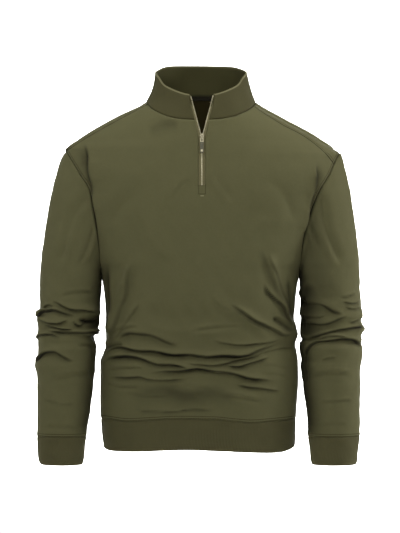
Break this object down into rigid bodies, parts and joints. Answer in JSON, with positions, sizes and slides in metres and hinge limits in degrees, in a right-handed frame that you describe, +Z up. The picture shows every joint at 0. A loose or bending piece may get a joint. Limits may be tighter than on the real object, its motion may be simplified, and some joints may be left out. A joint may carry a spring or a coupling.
{
  "type": "half zip sweatshirt",
  "caption": "Long-sleeved half zip sweatshirt with stand collar, ribbed hem and cuffs, filled out hollow as when worn, with a swinging zip pull.",
  "frame": {"origin": "where a wearer's shoulders hold the garment up: midway between the shoulders, level with the side of the neck", "axes": "+Z up toward the collar, -Y toward the front with the zip, +X toward the right of the front view"},
  "size_m": [0.673, 0.2487, 0.8151],
  "materials": {
    "body_knit": "fine cotton knit, matte, olive green",
    "back_knit": "fine cotton knit, matte, olive green",
    "sleeve_knit": "fine cotton knit, matte, olive green",
    "rib_knit": "fine rib knit, matte, olive green",
    "collar_knit": "double layer of fine knit, matte, olive green",
    "zip_tape": "woven tape, dark olive",
    "zip_metal": "pale satin metal",
    "pull_cover": "dark olive, matte"
  },
  "bodies": {
    "garment": {"front": "body_knit", "back": "back_knit", "sleeve_left": "sleeve_knit", "sleeve_right": "sleeve_knit", "cuff_left": "rib_knit", "cuff_right": "rib_knit", "hem_band": "rib_knit", "collar": "collar_knit", "zip_tape_left": "zip_tape", "zip_tape_right": "zip_tape", "zip_slider": "zip_metal"},
    "pull": {"pull_tab": "pull_cover"}
  },
  "joints": [
    {"name": "pull_hinge", "type": "hinge", "parent": "garment", "child": "pull", "pos_m": [0.0037, -0.1097, -0.07178], "axis": [-1, 0, 0], "range_deg": [0, 120]}
  ]
}
